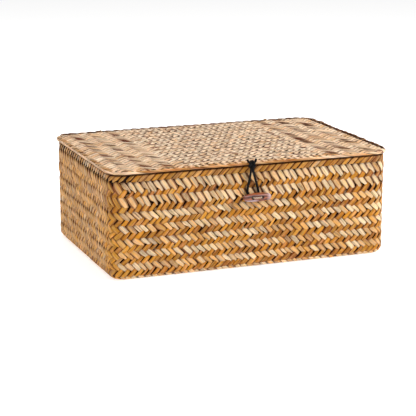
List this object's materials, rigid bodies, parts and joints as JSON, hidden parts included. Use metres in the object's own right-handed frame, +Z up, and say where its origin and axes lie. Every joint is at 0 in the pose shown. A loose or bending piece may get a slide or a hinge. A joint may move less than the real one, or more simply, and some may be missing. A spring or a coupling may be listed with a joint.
{
  "type": "woven lidded box",
  "caption": "Low rectangular box of plaited plant fibre with rounded corners and a hinged plaited lid, closed by a cord loop over a small wooden toggle.",
  "frame": {"origin": "centre of the flat base, on the surface the box stands on", "axes": "+X along the long side to the right as the toggle is faced, -Y towards the front with the toggle, +Z up"},
  "size_m": [0.31, 0.2228, 0.1142],
  "materials": {
    "box_plait": "matt plaited straw, pale and golden rows",
    "border_strip": "smooth golden straw strip",
    "lid_plait": "matt pale plaited straw",
    "lid_border_strip": "smooth pale straw strip",
    "rim_core": "plain cane",
    "hinge_cord": "twisted fibre cord",
    "closure_cord": "black braided cord with a slight shine",
    "toggle_wood": "polished reddish-brown wood",
    "thread": "waxed tan thread"
  },
  "bodies": {
    "box": {"box_weave": "box_plait", "box_border": "border_strip", "box_rim_wire": "rim_core", "hinge_stitch_left": "hinge_cord", "hinge_stitch_right": "hinge_cord"},
    "lid": {"lid_weave": "lid_plait", "lid_border": "lid_border_strip", "lid_rim_wire": "rim_core", "closure_knot": "closure_cord"},
    "loop": {"closure_loop": "closure_cord"},
    "toggle": {"toggle_button": "toggle_wood", "toggle_thread": "thread"}
  },
  "joints": [
    {"name": "lid_hinge", "type": "hinge", "parent": "box", "child": "lid", "pos_m": [0, 0.103, 0.1075], "axis": [-1, 0, 0], "range_deg": [0, 150]},
    {"name": "loop_swing", "type": "hinge", "parent": "lid", "child": "loop", "pos_m": [-0.0054, -0.1074, 0.1054], "axis": [-1, 0, 0], "range_deg": [0, 150], "deforming": ["closure_loop"]},
    {"name": "toggle_twist", "type": "hinge", "parent": "box", "child": "toggle", "pos_m": [-0.0004, -0.1094, 0.076], "axis": [0, -1, 0], "range_deg": [-90, 90]}
  ]
}
